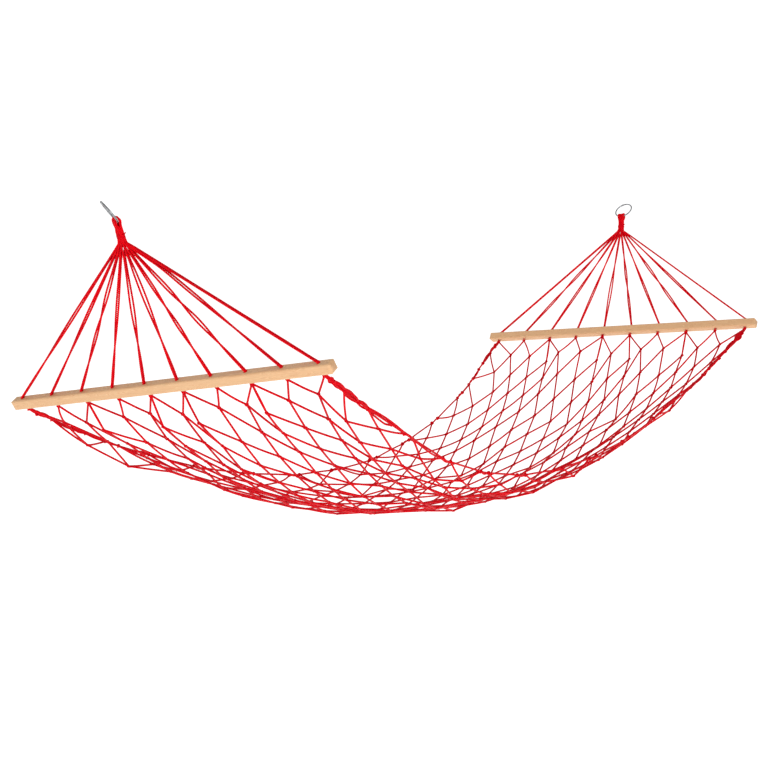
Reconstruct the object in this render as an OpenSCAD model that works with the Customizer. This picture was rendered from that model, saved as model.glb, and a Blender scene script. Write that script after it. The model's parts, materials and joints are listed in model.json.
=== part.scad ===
// Knotted net hammock on two spreader bars, hung by a steel ring at each end.
//
// Origin: the hook's seat in the head ring. +X runs along the hammock to the
// foot ring's seat, +Y is across it, and +Z is up. Lengths are in millimetres
// and angles in degrees. The head end is drawn in place, and the foot end is
// its mirror image.

/* [Spreader bars] */
// Length of a wooden spreader bar
bar_length = 800; // [770:5:950]
// Width and height of its square section
bar_size = 21; // [16:0.5:26]
// Radius of its long edges
bar_round = 3.5; // [1:0.5:5]
// Radius of its rounded ends
end_round = 7.5; // [3:0.5:9]
// Distance from the first cord hole to the last
hole_span = 740; // [700:5:760]
// Diameter of a cord hole
hole_d = 8; // [7.5:0.5:10]
// Angle of the holes above the horizontal
hole_rise = 60; // [50:1:75]
// How far the head bar hangs out of level about its neck, the foot bar as far the other way
bar_roll = 1.6; // [0:0.1:4]

/* [Net] */
// Distance from one spreader bar to the other
bar_spacing = 1800; // [1600:10:2200]
// How far the edges of the net hang below the bars
edge_sag = 265; // [200:5:320]
// How far the middle of the net hangs below the bars
belly_sag = 360; // [330:5:450]
// How much each edge draws in at mid-length
waist_inset = 60; // [0:1:80]
// Thickness of the net's twine
net_thick = 2.5; // [2:0.5:4]
// Diameter of the bundled cord along each edge
edge_cord_d = 7; // [5:0.5:10]

/* [Clews] */
// Height from a bar up to the point where its cords meet
clew_rise = 272; // [220:1:320]
// How far that point lies outboard of the bar
clew_run = 61; // [30:1:90]
// Diameter of one strand of clew cord
strand_d = 3; // [2.5:0.1:3.2]
// Length of the gathered neck, from the meeting point to the ring's wire
neck_length = 35; // [34:1:60]
// Diameter of the gathered neck
neck_d = 15; // [13:0.5:16]
// Diameter of a stopper knot under the bar
knot_d = 11; // [10:0.5:13]

/* [Rings] */
// Inner diameter of a steel ring
ring_inner_d = 42; // [34:1:50]
// Diameter of the ring's wire
wire_d = 3.5; // [3:0.5:5]
// Angle of a ring above the horizontal, leaning outboard from its neck
ring_rise = 45; // [40:1:75]
// How far the head ring is turned about the line from its neck to its hook
head_ring_twist = 35; // [0:1:45]

/* [Hidden] */
CORDS = 10;
ENDS = ["head", "foot"];
END_NODES = ["ring", "eye", "clew_crown", "neck_binding", "spreader_bar", "stopper_knots"];

red = [0.80, 0.02, 0.04];
dark_red = [0.62, 0.01, 0.05];
pine = [0.87, 0.66, 0.43];
steel = [0.62, 0.64, 0.66];

// Ring: the seat is the inside of the wire at the ring's outboard end
ring_r = (ring_inner_d + wire_d) / 2;
ring_dir = [-cos(ring_rise), 0, sin(ring_rise)];
ring_center = -ring_inner_d / 2 * ring_dir;
eye_point = ring_center - ring_r * ring_dir;

// Neck: it runs from the meeting point of the cords up to the eye
clew_length = norm([clew_run, clew_rise]);
neck_lean = atan2(clew_run, clew_rise);
neck_dir = [-sin(neck_lean), 0, cos(neck_lean)];
apex = eye_point - neck_length * neck_dir;

// The neck bends at this height above the apex, where the bed hangs from its eye
pivot_height = 16;
pivot = apex + pivot_height * neck_dir;
pivot_gap = 0.4;
eye_foot = pivot_height + neck_d / 2 + pivot_gap;
eye_d = 13;
eye_spread = 6;
wire_play = 0.1;

// Crown: the flat fan in which the strands gather, with its arc clear of crowding
crown_r = 28;
crown_half_angle = 60;
crown_thick = 7;

// Binding: turns of cord round the neck, each slightly sunk into the next
binding_turns = 3;
binding_start = 6;
binding_pitch = strand_d - 0.1;
binding_play = 0.05;

// Bar: bar_dir is the direction of its holes, from the net up to the clew
bar_center = apex + [clew_run, 0, -clew_rise];
bar_lean = 90 - hole_rise;
bar_dir = [-sin(bar_lean), 0, cos(bar_lean)];
strand_shift = strand_d / 2 + 0.1;
bend_height = 1.5;
bend_swell = 0.16;
knot_sink = 1;

// Net: it starts just clear of the stopper knots
mid_x = bar_center[0] + bar_spacing / 2;
net_start = bar_center + [15, 0, -15];
net_reach = mid_x - net_start[0];
edge_power = 2.2;
dip_power = 0.68;
net_rows = 48;
net_columns = 14;
edge_cord_sides = 10;
edge_cord_gap = 0.4;

function hole_y(i) = -hole_span / 2 + (i - 1) * hole_span / (CORDS - 1);

// Shape of the net at s, from -1 at the head to 1 at the foot
function net_x(s) = mid_x + net_reach * s;
function edge_drop(s) = (edge_sag + net_start[2] - bar_center[2]) * (1 - pow(abs(s), edge_power));
function edge_z(s) = net_start[2] - edge_drop(s);
function half_width(s) = hole_span / 2 - waist_inset * (1 - s * s);
function dip(s) = (belly_sag - edge_sag) * pow(max(0, 1 - s * s), dip_power);

// A point that hangs in line with both necks at s, after the net's twist from bar to bar
function twisted(p, s) = [
    p[0],
    p[1] * cos(bar_roll * s) - (p[2] - pivot[2]) * sin(bar_roll * s),
    p[1] * sin(bar_roll * s) + (p[2] - pivot[2]) * cos(bar_roll * s) + pivot[2]
];

// A point of the net, q running from -1 at the right edge to 1 at the left
function net_point(s, q) =
    twisted([net_x(s), q * half_width(s), edge_z(s) - dip(s) * (1 - q * q)], s);

// The centre line of an edge cord, side being -1 on the right and 1 on the left
function edge_point(s, side) =
    twisted([net_x(s), side * (half_width(s) + edge_cord_d / 2 + edge_cord_gap), edge_z(s)], s);

module at_foot() {
    translate([2 * mid_x, 0, 0]) mirror([1, 0, 0]) children();
}

// Rolls what hangs from a neck about the line through both necks
module rolled(angle) {
    translate(pivot) rotate([angle, 0, 0]) translate(-pivot) children();
}

// A round rod from a to b
module rod(a, b, d) {
    v = b - a;
    translate(a)
        rotate([0, acos(v[2] / norm(v)), atan2(v[1], v[0])])
            cylinder(h = norm(v), d = d, $fn = 32);
}

// Puts its children at the apex, with their Z up the neck
module on_neck() {
    translate(apex) rotate([0, -neck_lean, 0]) children();
}

// Puts its children at the bar's centre, with their Z along the holes
module on_bar() {
    translate(bar_center) rotate([0, -bar_lean, 0]) children();
}

// Turns a ring or its eye about the line from the neck to the hook's seat
module turned(twist) {
    rotate(a = twist, v = -ring_dir) children();
}

module wire_ring(d) {
    translate(ring_center)
        rotate([0, ring_rise, 0])
            rotate_extrude($fn = 96) translate([ring_r, 0]) circle(d = d, $fn = 32);
}

module ring(twist) {
    color(steel) turned(twist) wire_ring(wire_d);
}

// The strands' loops over the ring's wire, and the upper part of the neck
module eye(twist) {
    color(red) difference() {
        union() {
            on_neck() translate([0, 0, eye_foot])
                cylinder(h = neck_length - eye_foot, d = neck_d, $fn = 48);
            turned(twist) translate(eye_point) rotate([90, 0, 0])
                cylinder(h = eye_spread, d = eye_d, center = true, $fn = 48);
            for (side = [-1, 1])
                turned(twist) translate(eye_point + [0, side * eye_spread / 2, 0])
                    sphere(d = eye_d, $fn = 48);
        }
        turned(twist) wire_ring(wire_d + 2 * wire_play);
    }
}

module crown_outline() {
    arm = 2 * crown_r;
    intersection() {
        circle(r = crown_r, $fn = 96);
        polygon([
            [0, 0],
            [-arm * sin(crown_half_angle), -arm * cos(crown_half_angle)],
            [0, -2 * arm],
            [arm * sin(crown_half_angle), -arm * cos(crown_half_angle)]
        ]);
    }
    circle(d = neck_d, $fn = 96);
}

// The lower part of the neck, with a round top to turn under the eye
module clew_crown() {
    color(red) on_neck() {
        cylinder(h = pivot_height, d = neck_d, $fn = 48);
        translate([0, 0, pivot_height]) sphere(d = neck_d, $fn = 48);
        rotate([90, 0, 90])
            linear_extrude(height = crown_thick, center = true) crown_outline();
    }
}

module neck_binding() {
    turn_r = (neck_d + strand_d) / 2 + binding_play;
    color(dark_red) on_neck() rotate_extrude($fn = 64)
        for (k = [0:binding_turns - 1])
            translate([turn_r, binding_start + k * binding_pitch]) circle(d = strand_d, $fn = 32);
}

module rounded_rectangle(w, h, r) {
    square([w - 2 * r, h], center = true);
    square([w, h - 2 * r], center = true);
    for (x = [-1, 1], y = [-1, 1])
        translate([x * (w / 2 - r), y * (h / 2 - r)]) circle(r = r, $fn = 32);
}

// The bar is rounded along its edges and again at its ends
module spreader_bar() {
    color(pine) on_bar() difference() {
        intersection() {
            rotate([90, 0, 0])
                linear_extrude(height = bar_length, center = true)
                    rounded_rectangle(bar_size, bar_size, bar_round);
            linear_extrude(height = bar_size, center = true)
                rounded_rectangle(bar_size, bar_length, end_round);
            rotate([0, 90, 0])
                linear_extrude(height = bar_size, center = true)
                    rounded_rectangle(bar_size, bar_length, end_round);
        }
        for (i = [1:CORDS])
            translate([0, hole_y(i), 0])
                cylinder(h = 2 * bar_size, d = hole_d, center = true, $fn = 32);
    }
}

// Each knot is too wide for its hole and bears flat on the bar
module stopper_knots() {
    color(dark_red) on_bar() for (i = [1:CORDS])
        translate([0, hole_y(i), -bar_size / 2]) difference() {
            translate([0, 0, knot_sink - knot_d / 2]) sphere(d = knot_d, $fn = 32);
            translate([-knot_d, -knot_d, 0]) cube([2 * knot_d, 2 * knot_d, knot_d]);
        }
}

// A doubled cord, from its knot through the bar and up to the crown
module clew_cord(i) {
    side_y = [0, hole_y(i), 0];
    across_bar = [cos(bar_lean), 0, sin(bar_lean)];
    across_neck = [cos(neck_lean), 0, sin(neck_lean)];
    across_bend = (across_bar + across_neck) / (1 + across_bar * across_neck);
    mouth = bar_center + side_y + (bar_size / 2 + bend_height) * bar_dir;
    crown_end = apex + crown_r * (mouth - apex) / norm(mouth - apex);
    color(red) for (k = [-1, 1]) {
        low = bar_center + side_y - bar_size / 2 * bar_dir + k * strand_shift * across_bar;
        bend = mouth + k * strand_shift * across_bend;
        high = crown_end + k * strand_shift * across_neck;
        rod(low, bend, strand_d);
        translate(bend) sphere(d = strand_d + bend_swell, $fn = 32);
        rod(bend, high, strand_d);
    }
}

// The net as one thin skin: a closed shell of two grids joined round the rim
module net() {
    w = net_columns + 1;
    count = (net_rows + 1) * w;
    grid = [for (side = [1, -1], r = [0:net_rows], c = [0:net_columns])
        net_point(2 * r / net_rows - 1, 2 * c / net_columns - 1) + [0, 0, side * net_thick / 2]];
    cells = [for (r = [0:net_rows - 1], c = [0:net_columns - 1]) r * w + c];
    top = [for (a = cells) each [[a, a + w + 1, a + w], [a, a + 1, a + w + 1]]];
    bottom = [for (f = top) [f[2] + count, f[1] + count, f[0] + count]];
    rim = concat(
        [for (c = [0:net_columns]) c],
        [for (r = [1:net_rows]) r * w + net_columns],
        [for (c = [net_columns - 1:-1:0]) net_rows * w + c],
        [for (r = [net_rows - 1:-1:1]) r * w]
    );
    n = len(rim);
    wall = [for (k = [0:n - 1])
        let (a = rim[k], b = rim[(k + 1) % n])
        each [[b, a, a + count], [b, a + count, b + count]]];
    color(red) polyhedron(points = grid, faces = concat(top, bottom, wall), convexity = 8);
}

// The bundle of twine along one edge, swept along the net's side
module edge_cord(side) {
    m = edge_cord_sides;
    stations = [for (r = [0:net_rows]) 2 * r / net_rows - 1];
    path = [for (s = stations) edge_point(s, side)];
    points = [for (r = [0:net_rows])
        let (
            ahead = path[min(r + 1, net_rows)] - path[max(r - 1, 0)],
            along = ahead / norm(ahead),
            flat = cross([0, 0, 1], along),
            out = flat / norm(flat),
            up = cross(along, out)
        )
        for (k = [0:m - 1])
            path[r] + edge_cord_d / 2 * (cos(360 * k / m) * out + sin(360 * k / m) * up)];
    walls = [for (r = [0:net_rows - 1], k = [0:m - 1])
        let (a = r * m + k, b = r * m + (k + 1) % m)
        each [[a, a + m, b + m], [a, b + m, b]]];
    caps = [[for (k = [0:m - 1]) k], [for (k = [m - 1:-1:0]) net_rows * m + k]];
    color(dark_red) polyhedron(points = points, faces = concat(walls, caps), convexity = 4);
}

ring(head_ring_twist);  // head_ring
eye(head_ring_twist);  // head_eye
rolled(-bar_roll) clew_crown();  // head_clew_crown
rolled(-bar_roll) neck_binding();  // head_neck_binding
rolled(-bar_roll) spreader_bar();  // head_spreader_bar
rolled(-bar_roll) stopper_knots();  // head_stopper_knots
for (i = [1:CORDS])
    rolled(-bar_roll) clew_cord(i);
at_foot() ring(0);  // foot_ring
at_foot() eye(0);  // foot_eye
at_foot() rolled(bar_roll) clew_crown();  // foot_clew_crown
at_foot() rolled(bar_roll) neck_binding();  // foot_neck_binding
at_foot() rolled(bar_roll) spreader_bar();  // foot_spreader_bar
at_foot() rolled(bar_roll) stopper_knots();  // foot_stopper_knots
for (i = [1:CORDS])
    at_foot() rolled(bar_roll) clew_cord(i);
net();
edge_cord(1);  // left_edge_cord
edge_cord(-1);  // right_edge_cord
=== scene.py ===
"""Looks of a red knotted net hammock with two spreader bars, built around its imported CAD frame.

Lengths are in metres and positions are in the row frame: X runs along the hammock, Y across it
and Z up. The head end is built in place, and the foot end is its mirror image with its own
small differences.
"""

import json
import math

import bpy
import numpy as np
from mathutils import Matrix, Vector


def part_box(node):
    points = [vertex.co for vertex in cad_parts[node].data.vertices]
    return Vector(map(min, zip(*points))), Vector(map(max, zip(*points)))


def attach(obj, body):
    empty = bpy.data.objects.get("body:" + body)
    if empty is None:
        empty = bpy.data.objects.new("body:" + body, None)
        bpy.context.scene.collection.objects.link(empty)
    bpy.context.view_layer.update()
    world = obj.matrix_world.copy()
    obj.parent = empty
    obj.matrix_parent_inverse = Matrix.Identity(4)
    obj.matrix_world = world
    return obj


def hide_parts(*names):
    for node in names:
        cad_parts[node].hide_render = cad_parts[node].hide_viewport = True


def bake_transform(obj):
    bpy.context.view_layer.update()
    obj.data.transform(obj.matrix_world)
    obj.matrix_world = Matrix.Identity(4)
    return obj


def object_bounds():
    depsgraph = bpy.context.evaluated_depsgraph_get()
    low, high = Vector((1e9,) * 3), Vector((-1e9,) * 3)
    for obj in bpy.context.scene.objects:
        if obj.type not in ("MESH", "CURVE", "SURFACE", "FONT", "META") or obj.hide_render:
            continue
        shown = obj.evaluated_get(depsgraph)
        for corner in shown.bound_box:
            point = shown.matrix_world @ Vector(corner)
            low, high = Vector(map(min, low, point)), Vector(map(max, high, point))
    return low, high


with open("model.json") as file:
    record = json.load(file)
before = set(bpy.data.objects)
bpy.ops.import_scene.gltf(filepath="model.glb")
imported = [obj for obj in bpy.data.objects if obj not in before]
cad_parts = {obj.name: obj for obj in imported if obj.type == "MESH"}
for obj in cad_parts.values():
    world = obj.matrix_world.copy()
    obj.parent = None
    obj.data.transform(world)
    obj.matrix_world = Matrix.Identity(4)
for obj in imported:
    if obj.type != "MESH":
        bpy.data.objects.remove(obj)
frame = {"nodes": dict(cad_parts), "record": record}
cad_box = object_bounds()

# Sizes that the CAD source states and the frame doesn't
CORDS = 10
HOLE_SPAN = 0.74
BAR_SIZE = 0.021
BAR_LEAN = math.radians(30)
BAR_ROLL = math.radians(1.6)
CLEW_RUN = 0.061
CLEW_RISE = 0.272
NECK_LENGTH = 0.035
PIVOT_HEIGHT = 0.016
RING_TWIST = {"head": math.radians(35), "foot": 0.0}
STRAND_D = 0.003
WIRE_D = 0.0035
CROWN_R = 0.028
BEND_HEIGHT = 0.0015


def unit(v):
    return np.asarray(v, float) / np.linalg.norm(v)


def middle(node):
    low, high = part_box(node)
    return np.array((low + high) / 2)


# Places worked out from the frame, for a head end that hangs level
mounts = {m["name"]: m for m in frame["record"]["mounts"]}
MID_X = mounts["foot_hook_seat"]["pos_m"][0] / 2
RING_CENTER = middle("head_ring")
RING_DIR = unit(mounts["head_hook_seat"]["axis"])
RING_R = (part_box("foot_ring")[1].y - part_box("foot_ring")[0].y - WIRE_D) / 2
EYE = RING_CENTER - RING_R * RING_DIR
NECK_DIR = unit([-CLEW_RUN, 0, CLEW_RISE])
APEX = EYE - NECK_LENGTH * NECK_DIR
PIVOT = APEX + PIVOT_HEIGHT * NECK_DIR
BAR_CENTER = APEX + np.array([CLEW_RUN, 0, -CLEW_RISE])
ACROSS_NECK = np.array([NECK_DIR[2], 0, -NECK_DIR[0]])
HOLE_DIR = np.array([-math.sin(BAR_LEAN), 0, math.cos(BAR_LEAN)])
ACROSS_BAR = np.array([math.cos(BAR_LEAN), 0, math.sin(BAR_LEAN)])
KNOT_DROP = BAR_SIZE / 2 + 0.0052

ENDS = ("head", "foot")


def at_end(points, end):
    """Points of the head end, or their mirror image at the foot end."""
    points = np.array(points, float)
    if end == "foot":
        points[..., 0] = 2 * MID_X - points[..., 0]
    return points


def rolled(points, angle):
    """Points turned by angle about the line through both necks, along which the bed swings."""
    points = np.array(points, float)
    y, z = points[..., 1].copy(), points[..., 2] - PIVOT[2]
    points[..., 1] = y * np.cos(angle) - z * np.sin(angle)
    points[..., 2] = y * np.sin(angle) + z * np.cos(angle) + PIVOT[2]
    return points


def hung(points, end):
    """Points of the head end's bed, or their mirror image, with the bar out of level as it hangs."""
    return rolled(at_end(points, end), BAR_ROLL if end == "foot" else -BAR_ROLL)


def hole_y(i):
    """Where cord i, from 0 to 9, crosses the bar."""
    return -HOLE_SPAN / 2 + i * HOLE_SPAN / (CORDS - 1)


# ---------------------------------------------------------------- camera

CAMERA_FROM_BARS = Vector((-3.247, -2.204, 0.070))
CAMERA_HEADING = math.radians(35.86)
CAMERA_PITCH = math.radians(-1.88)
CAMERA_ROLL = math.radians(5.5)
CAMERA_LENS = 81.3


def make_camera():
    """The photograph's view: near level, with the horizon turned a little."""
    data = bpy.data.cameras.new("camera")
    data.lens = CAMERA_LENS
    data.sensor_width = 36
    camera = bpy.data.objects.new("camera", data)
    bpy.context.scene.collection.objects.link(camera)
    forward = Vector((
        math.cos(CAMERA_PITCH) * math.cos(CAMERA_HEADING),
        math.cos(CAMERA_PITCH) * math.sin(CAMERA_HEADING),
        math.sin(CAMERA_PITCH),
    ))
    level_right = forward.cross(Vector((0, 0, 1))).normalized()
    level_up = level_right.cross(forward)
    right = math.cos(CAMERA_ROLL) * level_right - math.sin(CAMERA_ROLL) * level_up
    up = math.sin(CAMERA_ROLL) * level_right + math.cos(CAMERA_ROLL) * level_up
    turn = Matrix((right, up, -forward)).transposed()
    place = Vector((MID_X, 0, BAR_CENTER[2])) + CAMERA_FROM_BARS
    camera.matrix_world = Matrix.Translation(place) @ turn.to_4x4()
    bpy.context.scene.camera = camera
    return camera


camera = make_camera()

# ---------------------------------------------------------------- tubes


def smooth_path(points, step):
    """Points about step apart on a smooth curve through the given points."""
    p = np.asarray(points, float)
    padded = np.vstack([2 * p[0] - p[1], p, 2 * p[-1] - p[-2]])
    t = np.linspace(0, 1, 12, endpoint=False)[:, None]
    pieces = []
    for a, b, c, d in zip(padded, padded[1:], padded[2:], padded[3:]):
        pieces.append(0.5 * (2 * b + (c - a) * t + (2 * a - 5 * b + 4 * c - d) * t**2
                             + (3 * b - a - 3 * c + d) * t**3))
    line = np.vstack(pieces + [p[-1:]])
    return spaced(line, step)


def spaced(line, step):
    """The same line with points about step apart."""
    along = np.concatenate([[0], np.cumsum(np.linalg.norm(np.diff(line, axis=0), axis=1))])
    at = np.linspace(0, along[-1], max(3, int(round(along[-1] / step)) + 1))
    return np.stack([np.interp(at, along, line[:, k]) for k in range(3)], axis=1)


def path_frames(path, closed=False):
    """The tangents of a path and two normals that turn with it as little as possible."""
    if closed:
        tangents = np.roll(path, -1, axis=0) - np.roll(path, 1, axis=0)
    else:
        tangents = np.gradient(path, axis=0)
    tangents /= np.linalg.norm(tangents, axis=1)[:, None]
    start = np.cross(tangents[0], (0, 0, 1) if abs(tangents[0][2]) < 0.9 else (1, 0, 0))
    normals = np.empty_like(path)
    normals[0] = unit(start)
    for i in range(1, len(path)):
        n = normals[i - 1] - (normals[i - 1] @ tangents[i]) * tangents[i]
        normals[i] = n / math.sqrt(n @ n)
    return tangents, normals, np.cross(tangents, normals)


class Tubes:
    """Gathers tubes into one mesh, with a UV of (metres along, turns around) and a tone for each."""

    def __init__(self):
        self.points, self.faces, self.uvs, self.tones, self.count = [], [], [], [], 0

    def add(self, path, radius, sides, tone=0.5, pitch=0, depth=0, closed=False, start=0):
        """Sweeps a tube along path. With a pitch, its three plies turn once in that length."""
        path = np.asarray(path, float)
        n = len(path)
        _, normals, sideways = path_frames(path, closed)
        along = start + np.concatenate([[0], np.cumsum(np.linalg.norm(np.diff(path, axis=0), axis=1))])
        turns = along / pitch if pitch else np.zeros(n)
        share = np.arange(sides) / sides
        angle = 2 * math.pi * (share[None, :] + turns[:, None])
        lobes = 1 + depth * np.cos(2 * math.pi * 3 * share)
        r = np.broadcast_to(np.asarray(radius, float), (n,))[:, None] * lobes[None, :]
        ring = (r * np.cos(angle))[..., None] * normals[:, None]
        ring += (r * np.sin(angle))[..., None] * sideways[:, None]
        self.points.append((path[:, None] + ring).reshape(-1, 3))
        rows = np.arange(n if closed else n - 1)
        i, j = np.meshgrid(rows, np.arange(sides), indexing="ij")
        nxt_i, nxt_j = (i + 1) % n, (j + 1) % sides
        corners = [(i, j), (i, nxt_j), (nxt_i, nxt_j), (nxt_i, j)]
        quads = np.stack([a * sides + b for a, b in corners], axis=-1).reshape(-1, 4)
        length = along[-1] + (np.linalg.norm(path[0] - path[-1]) if closed else 0)
        ends = np.append(along, length)
        end_turns = np.append(turns, length / pitch if pitch else 0)
        uv = np.stack([
            np.stack([ends[a], b / sides + end_turns[a]], axis=-1)
            for a, b in ((i, j), (i, j + 1), (i + 1, j + 1), (i + 1, j))
        ], axis=2).reshape(-1, 4, 2)
        faces = [quads + self.count]
        self.uvs.append(uv.reshape(-1, 2))
        self.faces.append(faces[0])
        self.tones.append(np.full(n * sides, tone))
        self.count += n * sides
        if not closed:
            for end, row in ((0, 0), (1, n - 1)):
                self.cap(path[row], row, n, sides, along[row], tone, end)

    def cap(self, centre, row, n, sides, along, tone, end):
        """Closes a tube's end with a fan of quads whose last two corners meet at its centre."""
        base = self.count - n * sides if end == 0 else self.count - 1 - n * sides
        self.points.append(centre[None, :])
        middle_point = self.count
        self.count += 1
        j = np.arange(sides)
        a, b = base + row * sides + j, base + row * sides + (j + 1) % sides
        if end == 0:
            a, b = b, a
        tris = np.stack([a, b, np.full(sides, middle_point), np.full(sides, -1)], axis=-1)
        self.faces.append(tris)
        self.uvs.append(np.stack([np.full(3 * sides, along), np.repeat(j / sides, 3)], axis=-1))
        self.tones.append(np.array([tone]))

    def build(self, name, material):
        """Makes the object. Its faces are smooth and its UVs and tones are kept."""
        faces = np.vstack(self.faces)
        is_tri = faces[:, 3] < 0
        sizes = np.where(is_tri, 3, 4)
        loops = faces.ravel()[np.stack([np.ones_like(is_tri)] * 3 + [~is_tri], axis=1).ravel()]
        points = np.vstack(self.points)
        mesh = bpy.data.meshes.new(name)
        mesh.vertices.add(len(points))
        mesh.vertices.foreach_set("co", points.astype(np.float32).ravel())
        mesh.loops.add(len(loops))
        mesh.loops.foreach_set("vertex_index", loops.astype(np.int32))
        mesh.polygons.add(len(faces))
        starts = np.concatenate([[0], np.cumsum(sizes)[:-1]])
        mesh.polygons.foreach_set("loop_start", starts.astype(np.int32))
        mesh.polygons.foreach_set("loop_total", sizes.astype(np.int32))
        mesh.update(calc_edges=True)
        mesh.validate()
        mesh.uv_layers.new(name="cord").data.foreach_set("uv", np.vstack(self.uvs).astype(np.float32).ravel())
        tone = mesh.attributes.new("tone", "FLOAT", "POINT")
        tone.data.foreach_set("value", np.concatenate(self.tones).astype(np.float32))
        mesh.polygons.foreach_set("use_smooth", np.ones(len(faces), bool))
        mesh.materials.append(material)
        piece = bpy.data.objects.new(name, mesh)
        bpy.context.scene.collection.objects.link(piece)
        return piece


# ---------------------------------------------------------------- materials


class Nodes:
    """Short calls for building one material's nodes."""

    def __init__(self, name):
        self.material = bpy.data.materials.new(name)
        self.material.use_nodes = True
        self.tree = self.material.node_tree
        self.shader = self.tree.nodes["Principled BSDF"]

    def add(self, kind, inputs=None, **settings):
        node = self.tree.nodes.new("ShaderNode" + kind)
        for key, value in settings.items():
            setattr(node, key, value)
        for key, value in (inputs or {}).items():
            if isinstance(value, bpy.types.NodeSocket):
                self.tree.links.new(value, node.inputs[key])
            else:
                node.inputs[key].default_value = value
        return node

    def math(self, operation, a, b=0.0, clamp=False):
        return self.add("Math", {0: a, 1: b}, operation=operation, use_clamp=clamp).outputs[0]

    def mix(self, share, a, b, blend="MIX"):
        node = self.add("Mix", data_type="RGBA", blend_type=blend)
        for key, value in ((0, share), (6, a), (7, b)):
            if isinstance(value, bpy.types.NodeSocket):
                self.tree.links.new(value, node.inputs[key])
            else:
                node.inputs[key].default_value = value
        return node.outputs[2]

    def noise(self, vector, scale, detail=3, roughness=0.55):
        inputs = {"Vector": vector, "Scale": scale, "Detail": detail, "Roughness": roughness}
        return self.add("TexNoise", inputs).outputs["Fac"]

    def ramp(self, value, low, high):
        """value mapped from low..high to 0..1."""
        inputs = {"Value": value, "From Min": low, "From Max": high}
        return self.add("MapRange", inputs, clamp=True).outputs[0]

    def bump(self, height, distance, strength, normal=None):
        inputs = {"Height": height, "Distance": distance, "Strength": strength}
        if normal is not None:
            inputs["Normal"] = normal
        return self.add("Bump", inputs).outputs[0]

    def drive(self, socket, value):
        self.tree.links.new(value, self.shader.inputs[socket])

    def set(self, **values):
        for key, value in values.items():
            self.shader.inputs[key.replace("_", " ")].default_value = value


def rgb(r, g, b):
    return (r, g, b, 1)


def cord_material(name, bright, dark, ply_length, roughness):
    """Glossy twisted synthetic cord: three plies of fine fibres, with shade painted darker into the grooves
    between the plies.
    """
    m = Nodes(name)
    uv = m.add("UVMap", uv_map="cord").outputs[0]
    parts = m.add("SeparateXYZ", {0: uv})
    along, around = parts.outputs[0], parts.outputs[1]
    lay = m.math("SUBTRACT", around, m.math("DIVIDE", along, ply_length))
    ply = m.math("COSINE", m.math("MULTIPLY", lay, 2 * math.pi * 3))
    crest = m.ramp(ply, -1, 1)
    fibre_at = m.add("CombineXYZ", {0: m.math("MULTIPLY", along, 90),
                                    1: m.math("MULTIPLY", lay, 26)}).outputs[0]
    fibre = m.noise(fibre_at, 1.0, 4, 0.6)
    patch_at = m.add("TexCoord").outputs["Object"]
    patch = m.noise(patch_at, 23, 3)
    tone = m.add("Attribute", attribute_name="tone").outputs["Fac"]
    # Painted shade: this mask darkens the colour in the grooves between the plies, and the fibre noise adds
    # the fibres' own darker streaks.
    light = m.math("MULTIPLY", m.ramp(crest, 0.0, 0.55), m.ramp(fibre, 0.22, 0.5))
    colour = m.mix(light, dark, bright)
    shade = m.math("ADD", m.math("MULTIPLY", tone, 0.22), m.math("MULTIPLY", m.ramp(patch, 0.35, 0.7), 0.18))
    colour = m.mix(shade, colour, dark)
    m.drive("Base Color", colour)
    gloss = m.math("ADD", m.math("MULTIPLY", fibre, 0.22), roughness - 0.11)
    m.drive("Roughness", gloss)
    height = m.math("ADD", m.math("MULTIPLY", crest, 0.75), m.math("MULTIPLY", fibre, 0.25))
    m.drive("Normal", m.bump(height, 0.0005, 0.55))
    m.set(Specular_IOR_Level=0.05)
    return m.material


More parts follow.
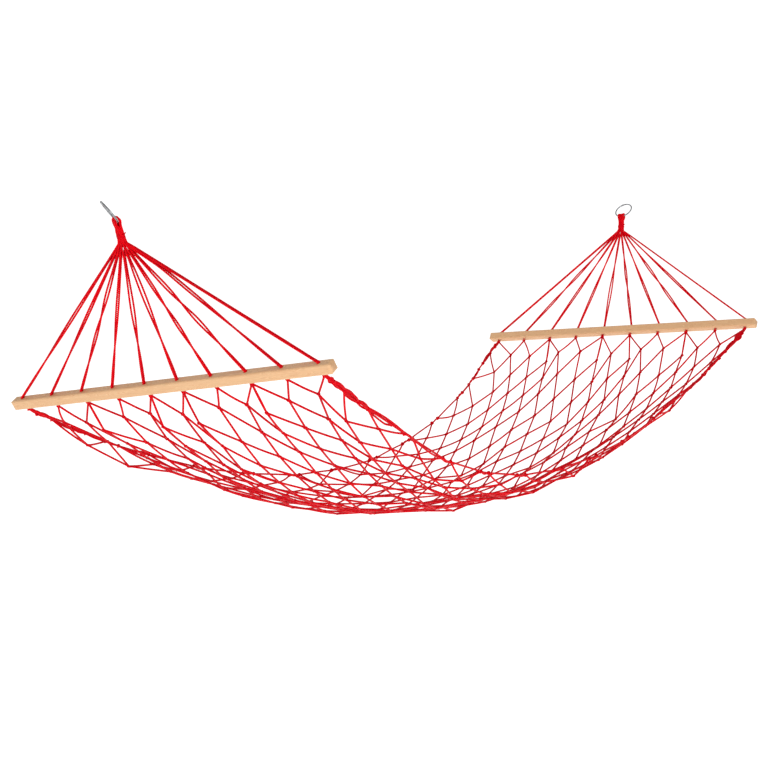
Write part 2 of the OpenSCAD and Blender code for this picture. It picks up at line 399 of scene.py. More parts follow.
def wood_material():
    """Planed pale softwood: growth rings drawn out along the bar, pores, and darker end grain."""
    m = Nodes("planed_pine")
    place = m.add("TexCoord").outputs
    wander = m.add("Mapping", {"Vector": place["Object"], "Scale": (1, 0.09, 1)}).outputs[0]
    bend = m.noise(wander, 26, 2)
    bent = m.add("VectorMath", {0: wander, 1: m.add("CombineXYZ", {0: bend, 1: 0, 2: bend}).outputs[0]},
                 operation="ADD").outputs[0]
    squeezed = m.add("Mapping", {"Vector": bent, "Scale": (1, 1, 0.6), "Rotation": (0.0, 0.5, 0)}).outputs[0]
    rings = m.add("TexWave", {"Vector": squeezed, "Scale": 42, "Distortion": 3.5, "Detail": 3,
                              "Detail Scale": 1.4, "Detail Roughness": 0.6},
                  wave_type="BANDS", bands_direction="X", wave_profile="SAW").outputs["Fac"]
    pores_at = m.add("Mapping", {"Vector": place["Object"], "Scale": (900, 26, 900)}).outputs[0]
    pores = m.noise(pores_at, 1.0, 4, 0.7)
    blotch_at = m.add("Mapping", {"Vector": place["Object"], "Scale": (1, 0.35, 1)}).outputs[0]
    blotch = m.noise(blotch_at, 17, 3)
    streaks_at = m.add("Mapping", {"Vector": bent, "Scale": (190, 90, 190)}).outputs[0]
    streaks = m.noise(streaks_at, 1.0, 3, 0.6)
    light, dark = rgb(0.72, 0.45, 0.232), rgb(0.47, 0.255, 0.115)
    colour = m.mix(m.math("MULTIPLY", m.ramp(rings, 0.25, 1.0), 0.55), light, dark)
    colour = m.mix(m.math("MULTIPLY", m.ramp(pores, 0.5, 0.72), 0.25), colour, rgb(0.36, 0.19, 0.085))
    colour = m.mix(m.math("MULTIPLY", m.ramp(blotch, 0.4, 0.75), 0.35), colour, rgb(0.62, 0.36, 0.18))
    colour = m.mix(m.math("MULTIPLY", m.ramp(streaks, 0.46, 0.66), 0.6), colour, rgb(0.56, 0.26, 0.105))
    facing = m.add("SeparateXYZ", {0: place["Normal"]}).outputs[1]
    end = m.math("POWER", m.math("ABSOLUTE", facing), 3.0)
    end_at = m.add("VectorMath", {0: place["Object"], 1: (900, 900, 900)}, operation="MULTIPLY").outputs[0]
    end_grain = m.noise(end_at, 1.0, 3)
    colour = m.mix(m.math("MULTIPLY", end, m.ramp(end_grain, 0.2, 0.75)), colour, rgb(0.30, 0.155, 0.07))
    m.drive("Base Color", colour)
    m.drive("Roughness", m.math("ADD", m.math("MULTIPLY", pores, 0.25), 0.42))
    height = m.math("ADD", m.math("MULTIPLY", rings, 0.35), m.math("MULTIPLY", pores, 0.65))
    m.drive("Normal", m.bump(height, 0.0004, 0.45))
    m.set(Coat_Weight=0.12, Coat_Roughness=0.35)
    return m.material


def steel_material():
    """Zinc-plated wire: bright, with drawn scratches and duller patches."""
    m = Nodes("zinc_plated_wire")
    place = m.add("TexCoord").outputs["Object"]
    fine = m.noise(place, 1800, 4, 0.7)
    dull = m.noise(place, 160, 3)
    colour = m.mix(m.ramp(dull, 0.35, 0.7), rgb(0.36, 0.37, 0.38), rgb(0.13, 0.135, 0.14))
    m.drive("Base Color", colour)
    m.drive("Roughness", m.math("ADD", m.math("MULTIPLY", fine, 0.25), m.math("MULTIPLY", dull, 0.2)))
    m.drive("Normal", m.bump(fine, 0.0001, 0.35))
    m.set(Metallic=1.0)
    return m.material


def floor_material():
    """Matt white studio floor with a barely visible mottle."""
    m = Nodes("studio_floor")
    place = m.add("TexCoord").outputs["Object"]
    mottle = m.noise(place, 2.2, 4)
    m.drive("Base Color", m.mix(m.ramp(mottle, 0.3, 0.7), rgb(0.93, 0.93, 0.93), rgb(0.90, 0.90, 0.90)))
    m.drive("Roughness", m.math("ADD", m.math("MULTIPLY", mottle, 0.1), 0.8))
    m.set(Emission_Color=rgb(1, 1, 1), Emission_Strength=0.7, Specular_IOR_Level=0.1)
    return m.material


PLY_LENGTH = 0.012
# Each cord's dark red is both the painted shade in its ply grooves and the colour of its darker strands and
# patches.
clew_red = cord_material("red_clew_cord", rgb(0.96, 0.0, 0.001), rgb(0.36, 0.0, 0.010), PLY_LENGTH, 0.42)
net_red = cord_material("red_net_twine", rgb(0.88, 0.0, 0.001), rgb(0.28, 0.0, 0.010), 0.009, 0.46)
pine = wood_material()
steel = steel_material()

# ---------------------------------------------------------------- clew cords


def cord_line(i):
    """The middle of cord i at the head, from under the bar up to the crown."""
    side = np.array([0, hole_y(i), 0])
    low = BAR_CENTER + side - BAR_SIZE / 2 * HOLE_DIR
    mouth = BAR_CENTER + side + (BAR_SIZE / 2 + BEND_HEIGHT) * HOLE_DIR
    return low, mouth, APEX + CROWN_R * unit(mouth - APEX)


# How each doubled cord hangs, from the left side to the right: whole turns of one strand round the
# other, how loosely the strands lie, and how far it keeps to its outer neighbour from the neck on
HEAD_LOOKS = [(0.5, 0.3, 0), (0.5, 0.0, 0), (1, 0.4, 0), (0.5, 0.2, 0), (0.5, 0.8, 0),
              (0.5, 0.9, 0), (1, 0.2, 0), (1, 0.6, 0), (0.5, 0.2, 0.062), (0, 0.3, 0)]
FOOT_LOOKS = [(0, 0.2, 0), (1, 0.2, 0), (0.5, 0.4, 0), (0.5, 0.1, 0), (0.5, 0.7, 0),
              (1, 0.2, 0), (0.5, 0.1, 0), (1, 0.4, 0), (0.5, 0.3, 0), (0, 0.9, 0)]
LOOKS = {"head": HEAD_LOOKS[::-1], "foot": FOOT_LOOKS[::-1]}
CORD_STEP = 0.001
LOOSENESS = 0.0016
CLEW_STRAND_D = 0.0038
STRAND_SHIFT = CLEW_STRAND_D / 2 + 0.0001


def eased(x):
    """x held between 0 and 1, with a soft start and end."""
    x = np.clip(x, 0, 1)
    return x * x * (3 - 2 * x)


def clew_line(end, i):
    """The line between the two strands of clew cord i, at the head's place."""
    low, mouth, crown = cord_line(i)
    together = LOOKS[end][i][2]
    points = [low, (low + mouth) / 2, mouth]
    if not together:
        return smooth_path(points + [mouth + (crown - mouth) * t for t in (0.04, 0.35, 0.7, 1.0)], CORD_STEP)
    outer_mouth, outer_crown = cord_line(i - 1)[1:]
    outer = unit(outer_mouth - APEX)
    beside = 0.0042 * unit(crown - outer_crown)
    split = APEX + (CROWN_R + together) * outer + beside
    points += [mouth + (split - mouth) * t for t in (0.04, 0.35, 0.7, 0.95)]
    points += [APEX + (CROWN_R + 0.6 * together) * outer + beside, crown]
    return smooth_path(points, CORD_STEP)


def clew_paths(end, i):
    """Clew cord i's own line and its two strands, at the head's place."""
    turns, loose, _ = LOOKS[end][i]
    line = clew_line(end, i)
    share = np.linspace(0, 1, len(line))
    tangents = np.gradient(line, axis=0)
    tangents /= np.linalg.norm(tangents, axis=1)[:, None]
    out_of_bar = eased((share - 0.02) / 0.06)[:, None]
    inward = (1 - out_of_bar) * ACROSS_BAR + out_of_bar * ACROSS_NECK
    inward -= (inward * tangents).sum(1)[:, None] * tangents
    inward /= np.linalg.norm(inward, axis=1)[:, None]
    sideways = np.cross(tangents, inward)
    free = eased((share - 0.09) / 0.12) * eased((0.97 - share) / 0.12)
    turn = 2 * math.pi * turns * eased((share - 0.1) / 0.85)
    gap = STRAND_SHIFT + free * loose * LOOSENESS * (0.6 + 0.4 * np.sin(share * 7 + i * 2.1))
    offset = (gap * np.cos(turn))[:, None] * inward + (gap * np.sin(turn))[:, None] * sideways
    return line, line + offset, line - offset


for end in ENDS:
    for i in range(CORDS):
        line, first, second = (hung(p, end) for p in clew_paths(end, i))
        tubes = Tubes()
        rng = np.random.default_rng(100 * ENDS.index(end) + i)
        for strand in (first, second):
            tubes.add(strand, CLEW_STRAND_D / 2, 12, rng.uniform(0, 1), PLY_LENGTH, 0.10)
        piece = tubes.build(f"{end}_clew_rope_{i + 1}", clew_red)
        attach(piece, "bed")
        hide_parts(f"{end}_clew_cord_{i + 1}")

# ---------------------------------------------------------------- necks

NECK_COLUMNS = 5
NECK_PITCH_Y = 0.0029
LAYER_X = (0.00150, 0.00410)
LAYER_SQUEEZE = (1.0, 0.86)
LOOP_R = (WIRE_D / 2 + STRAND_D / 2, WIRE_D / 2 + STRAND_D / 2 + 0.0026)
FLARE = {"head": 0.98, "foot": 1.22}
BOUND_AT = 0.0065


def wire_axis(end):
    """The way the ring's wire runs through its eye, at the head's place."""
    turn = RING_TWIST[end]
    return math.cos(turn) * np.array([0, 1, 0]) + math.sin(turn) * np.cross(-RING_DIR, (0, 1, 0))


def neck_place(end, x, y, h):
    """A point of the neck: x inboard of its axis, y across it and h above the cords' meeting point."""
    wire = wire_axis(end)
    full = math.atan2(wire @ ACROSS_NECK, wire[1])
    turn = full * eased((h - 0.006) / 0.022)
    across = math.cos(turn) * ACROSS_NECK - math.sin(turn) * np.array([0, 1, 0])
    sideways = math.sin(turn) * ACROSS_NECK + math.cos(turn) * np.array([0, 1, 0])
    return APEX + x * across + y * sideways + h * NECK_DIR


def eye_place(end, x, y, h):
    """A point near the eye: x inboard of the wire, y along it and h above it."""
    wire = wire_axis(end)
    across = unit(np.cross(wire, NECK_DIR))
    sag = (RING_R - math.sqrt(RING_R**2 - y**2)) * RING_DIR
    return EYE + x * across + y * wire + sag + h * np.cross(across, wire)


def neck_hung(points, end):
    """The neck's points at their end, rolled with the bed below the pivot and level at the eye."""
    points = at_end(points, end)
    share = 1 - eased((points - at_end(APEX, end)) @ at_end_way(NECK_DIR, end) / 0.030)
    return rolled(points, share * (BAR_ROLL if end == "foot" else -BAR_ROLL))


def at_end_way(way, end):
    """A direction of the head end, or its mirror image."""
    return way * np.array([-1.0, 1, 1]) if end == "foot" else way


def neck_strand(end, i, rng):
    """Cord i's strand through the neck: up one side, over the ring's wire and down the other."""
    column, layer = divmod(i, 2)
    y = (column - (NECK_COLUMNS - 1) / 2) * NECK_PITCH_Y
    jog = rng.uniform(-0.0003, 0.0003, 6)
    path = clew_line(end, i)
    far = int(round(0.006 / CORD_STEP))
    squeeze = LAYER_SQUEEZE[layer]
    up, down = [], []
    for side, points in ((1, up), (-1, down)):
        near_crown, crown = path[-1 - far], path[-1]
        x = side * LAYER_X[layer]
        points.append(near_crown + side * STRAND_SHIFT * ACROSS_NECK)
        points.append(crown + side * STRAND_SHIFT * ACROSS_NECK)
        points.append(APEX + 0.62 * (crown - APEX) + (0.5 * side * STRAND_SHIFT + 0.5 * x) * ACROSS_NECK)
        points.append(APEX + 0.33 * (crown - APEX) + x * ACROSS_NECK)
        points.append(neck_place(end, x, y * squeeze * 1.05, 0.0015))
        points.append(neck_place(end, x * 0.97, y * squeeze * 0.99 + jog[0] * 0.4, BOUND_AT))
        points.append(neck_place(end, x, y * squeeze + jog[1] + side * jog[2], 0.015))
        points.append(neck_place(end, x * 1.03, y * squeeze + jog[3], 0.023))
        points.append(eye_place(end, side * LOOP_R[layer] * 0.92, y * FLARE[end] * 0.98 + jog[4], -0.006))
    y_top = y * FLARE[end] + jog[5]
    arc = [eye_place(end, LOOP_R[layer] * math.cos(angle), y_top, LOOP_R[layer] * math.sin(angle))
           for angle in np.radians((0, 30, 60, 90, 120, 150, 180))]
    return smooth_path(up + arc + down[::-1], CORD_STEP)


def make_neck(end):
    """Ten loops over the ring, gathered into a neck that bends where the bed swings."""
    rng = np.random.default_rng(7 + ENDS.index(end))
    tubes = Tubes()
    for i in range(CORDS):
        path = neck_hung(neck_strand(end, i, rng), end)
        below_neck = (at_end(APEX, end) - path) @ at_end_way(NECK_DIR, end)
        drawn = eased(1 - below_neck / CROWN_R)
        radius = CLEW_STRAND_D / 2 + drawn * (STRAND_D - CLEW_STRAND_D) / 2
        tubes.add(path, radius, 12, rng.uniform(0, 0.6), PLY_LENGTH, 0.08)
    return tubes.build(f"{end}_neck_strands", clew_red)


WHIPPING_D = 0.0024
WHIPPING_TURNS = 3.2


def make_whipping(end):
    """The cord wound round the neck's foot, with its cut end standing out."""
    rng = np.random.default_rng(17 + ENDS.index(end))
    radius_x = LAYER_X[1] + STRAND_D / 2 + WHIPPING_D / 2 - 0.0005
    radius_y = 2 * NECK_PITCH_Y + STRAND_D / 2 + WHIPPING_D / 2 - 0.0007
    points = []
    for angle in np.arange(0, 360 * WHIPPING_TURNS, 20):
        a = math.radians(angle)
        h = BOUND_AT - 0.0036 + angle / 360 * (WHIPPING_D - 0.0002) + rng.uniform(-0.0001, 0.0001)
        points.append(neck_place(end, radius_x * math.cos(a), -radius_y * math.sin(a), h))
    last = math.radians(360 * WHIPPING_TURNS)
    for reach_x, reach_y, h in ((1.25, 1.3, 0.0040), (1.3, 1.6, 0.0046)):
        x, y = reach_x * radius_x * math.cos(last), -reach_y * radius_y * math.sin(last)
        points.append(neck_place(end, x, y, BOUND_AT + h))
    tubes = Tubes()
    tubes.add(neck_hung(smooth_path(points, 0.0008), end), WHIPPING_D / 2, 12, 0.9, PLY_LENGTH * 0.8, 0.08)
    return tubes.build(f"{end}_neck_whipping", clew_red)


for end in ENDS:
    upper, lower = at_end([APEX + 0.028 * NECK_DIR, APEX + 0.002 * NECK_DIR], end)
    parts = ((make_neck(end), ("eye", "clew_crown")), (make_whipping(end), ("neck_binding",)))
    for piece, nodes in parts:
        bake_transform(piece)
        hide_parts(*(f"{end}_{node}" for node in nodes))

# ---------------------------------------------------------------- rings


def make_weld(end):
    """The bead where the ring's wire is welded, at the outboard end beside the hook's seat."""
    rng = np.random.default_rng(27)
    angles = np.radians(np.linspace(-8, 8, 25) + 24)
    path = [RING_CENTER + RING_R * (math.cos(a) * RING_DIR + math.sin(a) * wire_axis(end)) for a in angles]
    swell = 0.00018 + 0.00042 * np.cos(np.linspace(-math.pi / 2, math.pi / 2, 25)) ** 0.6
    swell += rng.uniform(-0.00006, 0.00006, 25)
    swell[[0, -1]] = -0.0004
    tubes = Tubes()
    tubes.add(at_end(path, end), WIRE_D / 2 + swell, 18, 0.2)
    return tubes.build(f"{end}_ring_weld", steel)


for end in ENDS:
    weld = make_weld(end)
    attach(weld, f"{end}_end")

# ---------------------------------------------------------------- the net's shape

# Net loops on each cord hole, from one side to the other. Each outermost loop's outer leg is the edge
# cord. The rows of knots between the bars, and how far along the first of them is
LOOPS = (2, 1, 2, 1, 2, 2, 1, 2, 1, 2)
ACROSS = sum(LOOPS) - 1
ROWS = 23
FIRST_ROW = 0.965
EDGE_SAG = 0.260
BELLY_SAG = 0.334
WAIST_INSET = 0.0595
EDGE_POWER = 2.2
DIP_POWER = 0.68
NET_START = 0.015
# A twine's own length against its place as knotted, its spread, and the legs on the holes
TWINE_NOISE = 0.02
MESH_SHARE = 1.010
LEG_LENGTH = 0.0722
# The rows whose outermost knot is gathered into the edge, and how much shorter its twines are
OUTERMOST = (("right", 0), ("left", -1))
GATHERED = {"right": (1, ROWS - 2, ROWS), "left": (1, 3, ROWS - 2, ROWS)}
GATHER_SHARE = 0.96
# The share of its weight that pulls the net to the left, and each edge's slack from head to foot
SIDE_PULL = 0.12
EDGE_SLACK = {"right": (0.005, -0.003), "left": (-0.019, 0.018)}
KNOT_MASS = 0.0007
EDGE_MASS = 3
TWINE_PULL = 300
CLOTH_PULL = 6
RELAX_STEPS = 8000


def cut_shape(s, q):
    """Where the net was knotted to lie: s runs from -1 to 1 along it and q from -1 to 1 across."""
    start = BAR_CENTER + np.array([NET_START, 0, -NET_START])
    drop = (EDGE_SAG - NET_START) * (1 - abs(s) ** EDGE_POWER)
    dip = (BELLY_SAG - EDGE_SAG) * (1 - s * s) ** DIP_POWER
    half = HOLE_SPAN / 2 - WAIST_INSET * (1 - s * s)
    x = MID_X + (MID_X - start[0]) * s
    flat = np.stack([x + 0 * q, q * half, start[2] - drop - dip * (1 - q * q)], axis=-1)
    return rolled(flat, BAR_ROLL * s)


def knot_rows():
    """The knots' numbers by row, and their first places. Even rows reach the edges."""
    rows, places, count = {}, [], 0
    for r in range(1, ROWS + 1):
        n = ACROSS + 1 - r % 2
        q = (np.arange(n) + 0.5 * (r % 2)) * 2 / ACROSS - 1
        for side, k in OUTERMOST:
            if r in GATHERED[side]:
                q[k] = np.sign(q[k])
        places.append(cut_shape(FIRST_ROW * (2 * (r - 1) / (ROWS - 1) - 1), q))
        rows[r] = np.arange(count, count + n)
        count += n
    under_bar = BAR_CENTER - KNOT_DROP * HOLE_DIR
    holes = np.array([under_bar + np.array([0, hole_y(i), 0]) for i in range(CORDS)])
    for end in ENDS:
        places.append(hung(holes, end))
        rows[end] = np.arange(count, count + CORDS)
        count += CORDS
    return rows, np.vstack(places)


def net_links(rows):
    """Pairs of knots: the twines, the runs of each edge, and neighbours across and along."""
    twines = []
    on_hole = np.repeat(np.arange(CORDS), LOOPS)
    for end, first in (("head", 1), ("foot", ROWS)):
        for k in range(ACROSS):
            for loop in (k, k + 1):
                twines.append((rows[end][on_hole[loop]], rows[first][k]))
    for r in range(1, ROWS):
        wide, narrow = (rows[r + 1], rows[r]) if r % 2 else (rows[r], rows[r + 1])
        for k in range(ACROSS):
            twines += [(wide[k], narrow[k]), (wide[k + 1], narrow[k])]
    edges = {}
    for side, k in OUTERMOST:
        on_edge = [r for r in range(1, ROWS + 1) if r % 2 == 0 or r in GATHERED[side]]
        edges[side] = [rows["head"][k], *(rows[r][k] for r in on_edge), rows["foot"][k]]
    across = [pair for r in range(1, ROWS + 1) for pair in zip(rows[r], rows[r][1:])]
    along = [pair for r in range(1, ROWS - 1) for pair in zip(rows[r], rows[r + 2])]
    return np.array(twines), edges, np.array(across), np.array(along)


def hang(places, fixed, springs, mass, steps):
    """Lets the knots sink under their weight until the twines hold them (FIRE relaxation)."""
    p, v = places.copy(), np.zeros_like(places)
    i, j, rest, pull, push = (np.concatenate([s[k] for s in springs]) for k in range(5))
    weight = np.zeros_like(p)
    weight[:, 1] = 9.81 * SIDE_PULL * mass
    weight[:, 2] = -9.81 * mass
    step, inertia, mixing, good = 0.002, 0.001, 0.1, 0
    for _ in range(steps):
        d = p[j] - p[i]
        length = np.sqrt((d * d).sum(1))
        stretch = length - rest
        f = (np.where(stretch > 0, pull, push) * stretch / length)[:, None] * d
        force = weight.copy()
        for axis in range(3):
            force[:, axis] += np.bincount(i, f[:, axis], len(p)) - np.bincount(j, f[:, axis], len(p))
        force[fixed] = 0
        if (force * v).sum() > 0:
            good += 1
            speed = math.sqrt((v * v).sum() / max((force * force).sum(), 1e-20))
            v = (1 - mixing) * v + mixing * speed * force
            if good > 5:
                step = min(step * 1.1, 0.016)
                mixing *= 0.99
        else:
            good, mixing, step = 0, 0.1, step * 0.5
            v[:] = 0
        v += force * step / inertia
        p += v * step
    return p


def hung_net():
    """The net's knots as they hang, its rows, twines and edges, and each twine's own length."""
    rows, places = knot_rows()
    twines, edges, across, along = net_links(rows)
    rng = np.random.default_rng(5)

    def length(pairs):
        return np.linalg.norm(places[pairs[:, 1]] - places[pairs[:, 0]], axis=1)

    def spring(pairs, rest, pull, push):
        return pairs[:, 0], pairs[:, 1], rest, np.full(len(pairs), pull), np.full(len(pairs), push)

    twine_length = np.where(twines[:, 0] < rows["head"][0], length(twines) * MESH_SHARE, LEG_LENGTH)
    gathered = [rows[r][k] for side, k in OUTERMOST for r in GATHERED[side]]
    twine_length[np.isin(twines, gathered).any(axis=1)] *= GATHER_SHARE
    twine_length *= 1 + TWINE_NOISE * rng.standard_normal(len(twines))
    runs = {side: np.stack([chain[:-1], chain[1:]], axis=1) for side, chain in edges.items()}
    springs = [spring(twines, twine_length, TWINE_PULL, 0.3 * CLOTH_PULL)]
    for side, (at_head, at_foot) in EDGE_SLACK.items():
        slack = 1 + np.linspace(at_head, at_foot, len(runs[side]))
        springs.append(spring(runs[side], length(runs[side]) * slack, 3 * TWINE_PULL, 0.3 * CLOTH_PULL))
    springs.append(spring(across, length(across), CLOTH_PULL, CLOTH_PULL))
    springs.append(spring(along, length(along), 0.3 * CLOTH_PULL, 0.3 * CLOTH_PULL))
    mass = np.full(len(places), KNOT_MASS)
    for chain in edges.values():
        mass[chain[1:-1]] *= EDGE_MASS
    fixed = np.concatenate([rows[end] for end in ENDS])
    return hang(places, fixed, springs, mass, RELAX_STEPS), rows, twines, edges, twine_length


knots, rows, twines, edges, twine_length = hung_net()

# ---------------------------------------------------------------- the net's twines

CORNER_ROUNDS = 3
EDGE_KNOT = 0.034


def edge_line(side):
    """An edge's line with its corners rounded, and how far along it each point and each knot is."""
    chain = knots[edges[side]]
    line = spaced(chain, 0.002)
    for _ in range(CORNER_ROUNDS):
        line[1:-1] = (line[:-2] + line[1:-1] + line[2:]) / 3
    total = np.concatenate([[0], np.cumsum(np.linalg.norm(np.diff(line, axis=0), axis=1))])
    nearest = [int(np.argmin(np.linalg.norm(line - k, axis=1))) for k in chain]
    return line, total, total[nearest]


edge_lines = {side: edge_line(side) for side in edges}
edge_places = {int(n): (side, i) for side, chain in edges.items() for i, n in enumerate(chain[1:-1], 1)}


def on_line(line, total, at):
    """Points at the given lengths along a line."""
    return np.stack([np.interp(at, total, line[:, k]) for k in range(3)], axis=-1)


def twine_end(number, other):
    """Where a twine ends: at its knot, or at one end of the long knot that ties it to an edge."""
    if int(number) not in edge_places:
        return knots[number]
    side, place = edge_places[int(number)]
    line, total, along = edge_lines[side]
    way = 1 if knots[other, 0] > knots[number, 0] else -1
    return on_line(line, total, along[place] + way * EDGE_KNOT / 2)


TWINE_D = 0.0042
NET_KNOT_SIZE = 0.0030
KNOT_TWINE_R = 0.0017
TWINE_SIDES = 7
TWINE_RINGS = 9
SLACK_BOW = 0.07


def twine_path(a, b, own_length, rng):
    """A twine from knot a to knot b, with the bow that its spare length gives."""
    gap = np.linalg.norm(b - a)
    spare = max(0.0, own_length - gap)
    bow = SLACK_BOW * math.sqrt(3 * gap * spare / 8) + abs(rng.normal(0, 0.0004))
    along = (b - a) / gap
    down = np.array([rng.normal(0, 0.5), rng.normal(0, 0.5), -1.0])
    down -= (down @ along) * along
    down /= np.linalg.norm(down) + 1e-9
    t = np.linspace(0, 1, TWINE_RINGS)
    lean = rng.uniform(-0.35, 0.35)
    curve = np.sin(math.pi * t) * (1 + lean * np.cos(math.pi * t))
    return a + t[:, None] * (b - a) + (bow * curve)[:, None] * down


def make_twines():
    """Every twine of the net, the head half and the foot half each as one piece."""
    rng = np.random.default_rng(11)
    halves = {end: Tubes() for end in ENDS}
    for (a, b), own in zip(twines, twine_length):
        half = halves["head" if (knots[a, 0] + knots[b, 0]) / 2 < MID_X else "foot"]
        half.add(twine_path(twine_end(a, b), twine_end(b, a), own, rng), TWINE_D / 2, TWINE_SIDES,
                 rng.uniform(0, 1), start=rng.uniform(0, 1))
    return [halves[end].build(f"net_twines_{end}", net_red) for end in ENDS]


def knot_curve(size, count=26):
    """A trefoil of that size, the shape of a pulled knot, with its flat side across Z."""
    t = np.linspace(0, 2 * math.pi, count, endpoint=False)
    ring = 0.62 + 0.38 * np.cos(3 * t)
    return size * np.stack([ring * np.cos(2 * t), ring * np.sin(2 * t), 0.36 * np.sin(3 * t)], axis=1)


def flat_turn(angle):
    """A turn of a curve's points by that angle in their own XY plane."""
    c, s = math.cos(angle), math.sin(angle)
    return np.array([[c, s, 0], [-s, c, 0], [0, 0, 1]])


def local_axes(along, down=(0, 0, -1)):
    """Three axes as the rows of a matrix: along, across, and out of the net."""
    x = unit(along)
    y = np.cross(down, x)
    y = unit(y) if np.linalg.norm(y) > 1e-3 else np.array([0.0, 1, 0])
    return np.stack([x, y, np.cross(x, y)])


def make_net_knots():
    """A pulled knot at every crossing of the net that isn't on an edge."""
    rng = np.random.default_rng(13)
    tubes = Tubes()
    for r in range(1, ROWS + 1):
        before = knots[rows[r - 1 if r > 1 else "head"]].mean(axis=0)
        after = knots[rows[r + 1 if r < ROWS else "foot"]].mean(axis=0)
        for number in rows[r]:
            if int(number) in edge_places:
                continue
            axes = local_axes(after - before + rng.normal(0, 0.02, 3))
            spin = rng.uniform(0, 2 * math.pi)
            curve = knot_curve(NET_KNOT_SIZE * rng.uniform(0.9, 1.15)) @ flat_turn(spin) @ axes
            tubes.add(knots[number] + curve, KNOT_TWINE_R, 6, rng.uniform(0, 1),
                      closed=True, start=rng.uniform(0, 1))
    return tubes.build("net_knots", net_red)


net_pieces = [*make_twines(), make_net_knots()]
for piece in net_pieces:
    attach(piece, "bed")
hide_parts("net")


def make_stopper_knots(end):
    """The knot under each hole: the clew's strands pulled tight round the first net loops."""
    rng = np.random.default_rng(31 + ENDS.index(end))
    tubes = Tubes()
    for i, number in enumerate(rows[end]):
        size = 0.0034 if LOOPS[i] == 2 else 0.0029
        size *= rng.uniform(0.94, 1.08)
        up = HOLE_DIR * (1, 1, 1) if end == "head" else HOLE_DIR * (-1, 1, 1)
        axes = local_axes([0, 1, 0], -up)
        spin = rng.uniform(0, 2 * math.pi)
        turn = flat_turn(spin)
        place = knots[number]
        tubes.add(place + knot_curve(size, 44) @ turn @ axes, 0.00165, 10, rng.uniform(0, 1),
                  0.01, 0.08, closed=True)
        lean = rng.normal(0, 0.25, 3)
        wrap = knot_curve(size * 0.8, 44) @ turn.T @ local_axes(up + lean, [0, 1, 0.2])
        tubes.add(place + 0.0006 * up + wrap, 0.0015, 10, rng.uniform(0, 1), 0.01, 0.08, closed=True)
    piece = tubes.build(f"{end}_hole_knots", clew_red)
    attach(piece, "bed")
    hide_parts(f"{end}_stopper_knots")


for end in ENDS:
    make_stopper_knots(end)

# ---------------------------------------------------------------- the net's edges

# How far a strand keeps from the edge's line at a tie, and how much further between two ties
MAIN_STRAND = (0.0003, 0.0010)
TAIL_STRAND = (0.0024, 0.0048)
DOUBLED_STRAND = (0.0028, 0.0006)
EDGE_STRAND_D = 0.0041
EDGE_KNOT_SIZE = 0.0033
EDGE_STEP = 0.003
# How many of the edge's knots each further strand reaches past, from either bar
TAILS = {"right": (1.0, 1.2, 2.0, 2.6, 4.1), "left": (1.0, 1.6, 2.2)}


def edge_strand(side, start, stop, rng, apart, scallop):
    """One strand of an edge between two lengths along it, wandering about the edge's line."""
    line, total, along = edge_lines[side]
    at = np.linspace(start, stop, max(8, int((stop - start) / EDGE_STEP)))
    path = on_line(line, total, at)
    _, normals, sideways = path_frames(path)
    ties = np.unique(np.concatenate([along - EDGE_KNOT / 2, along + EDGE_KNOT / 2]))
    angle = np.interp(at, ties, rng.uniform(0, 2 * math.pi) + np.cumsum(rng.uniform(-1.2, 1.9, len(ties))))
    between = np.zeros(len(at))
    for a, b in zip(ties, ties[1:]):
        here = (at >= a) & (at <= b)
        between[here] = np.sin(math.pi * (at[here] - a) / (b - a)) * rng.uniform(0.2, 1.0)
    reach = apart + scallop * between
    fade = eased((at - start) / 0.02) * eased((stop - at) / 0.02)
    reach = reach * (0.25 + 0.75 * fade)
    return path + (reach * np.cos(angle))[:, None] * normals + (reach * np.sin(angle))[:, None] * sideways


def make_edge(side):
    """The edge cord: one strand tied to the outer knots, with more strands towards the bars."""
    rng = np.random.default_rng(41 if side == "right" else 43)
    line, total, along = edge_lines[side]
    last = len(along) - 1
    tubes = Tubes()
    spans = [(0, total[-1], *MAIN_STRAND)]
    for tail in TAILS[side]:
        reach = np.interp(tail, np.arange(last + 1), along) + rng.uniform(-0.02, 0.01)
        spans += [(0, reach, *TAIL_STRAND), (total[-1] - reach, total[-1], *TAIL_STRAND)]
    spans += [(at - EDGE_KNOT / 2, at + EDGE_KNOT / 2, *DOUBLED_STRAND) for at in along[1:-1]]
    for start, stop, apart, scallop in spans:
        tubes.add(edge_strand(side, start, stop, rng, apart, scallop), EDGE_STRAND_D / 2, 8,
                  rng.uniform(0, 1), start=rng.uniform(0, 1))
    for place in range(1, last):
        for way in (-1, 1):
            at = along[place] + way * EDGE_KNOT / 2
            before, here, after = on_line(line, total, [at - 0.004, at, at + 0.004])
            size = EDGE_KNOT_SIZE * rng.uniform(0.9, 1.15)
            curve = knot_curve(size, 32) @ local_axes(after - before)[[1, 2, 0]]
            tubes.add(here + curve, KNOT_TWINE_R, 8, rng.uniform(0, 1), closed=True, start=rng.uniform(0, 1))
    piece = tubes.build(f"{side}_edge_bundle", net_red)
    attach(piece, "bed")
    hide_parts(f"{side}_edge_cord")


for side in edges:
    make_edge(side)

# ---------------------------------------------------------------- CAD parts that show

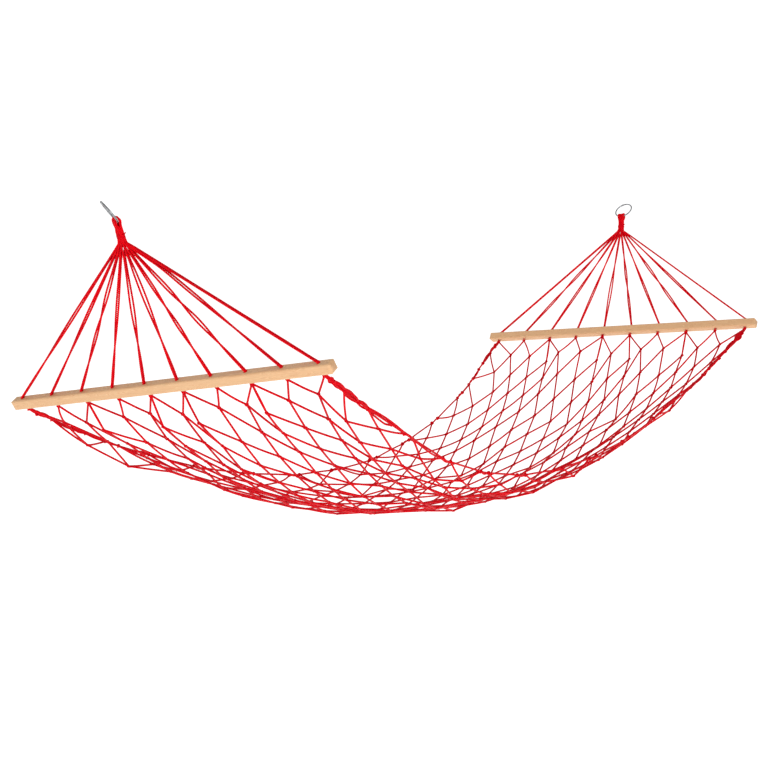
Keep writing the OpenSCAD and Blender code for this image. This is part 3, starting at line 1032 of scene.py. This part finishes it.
for end in ENDS:
    for node, material in ((f"{end}_ring", steel), (f"{end}_spreader_bar", pine)):
        mesh = frame["nodes"][node].data
        mesh.materials.clear()
        mesh.materials.append(material)

# ---------------------------------------------------------------- stage and light

FLOOR_DROP = 0.55


def make_floor():
    size = 40.0
    mesh = bpy.data.meshes.new("floor")
    z = cad_box[0].z - FLOOR_DROP
    corners = [(MID_X + size * a, size * b, z) for a, b in ((-1, -1), (1, -1), (1, 1), (-1, 1))]
    mesh.from_pydata(corners, [], [(0, 1, 2, 3)])
    mesh.materials.append(floor_material())
    floor = bpy.data.objects.new("floor", mesh)
    bpy.context.scene.collection.objects.link(floor)


def make_area_light(name, place, size, energy):
    data = bpy.data.lights.new(name, "AREA")
    data.size = size
    data.energy = energy
    light = bpy.data.objects.new(name, data)
    bpy.context.scene.collection.objects.link(light)
    aim = Vector((MID_X, 0, BAR_CENTER[2] - 0.1)) - Vector(place)
    light.location = place
    light.rotation_mode = "QUATERNION"
    light.rotation_quaternion = aim.to_track_quat("-Z", "Y")


def make_world(level, overhead):
    """White round the horizon and below it, and dimmer overhead."""
    world = bpy.data.worlds.new("studio")
    world.use_nodes = True
    nodes, links = world.node_tree.nodes, world.node_tree.links
    background = nodes["Background"]
    background.inputs["Color"].default_value = (1, 1, 1, 1)
    height = nodes.new("ShaderNodeSeparateXYZ")
    fade = nodes.new("ShaderNodeMapRange")
    fade.inputs["From Min"].default_value = 0.25
    fade.inputs["From Max"].default_value = 0.75
    fade.inputs["To Min"].default_value = level
    fade.inputs["To Max"].default_value = overhead
    links.new(nodes.new("ShaderNodeTexCoord").outputs["Generated"], height.inputs[0])
    links.new(height.outputs[2], fade.inputs["Value"])
    links.new(fade.outputs[0], background.inputs["Strength"])
    bpy.context.scene.world = world


make_floor()
make_world(1.15, 0.35)
make_area_light("front_light", (MID_X - 2.6, -3.4, -0.55), 2.4, 60)
make_area_light("top_light", (MID_X + 0.8, 0.9, 2.2), 2.5, 12)
bpy.context.scene.view_settings.view_transform = "Standard"
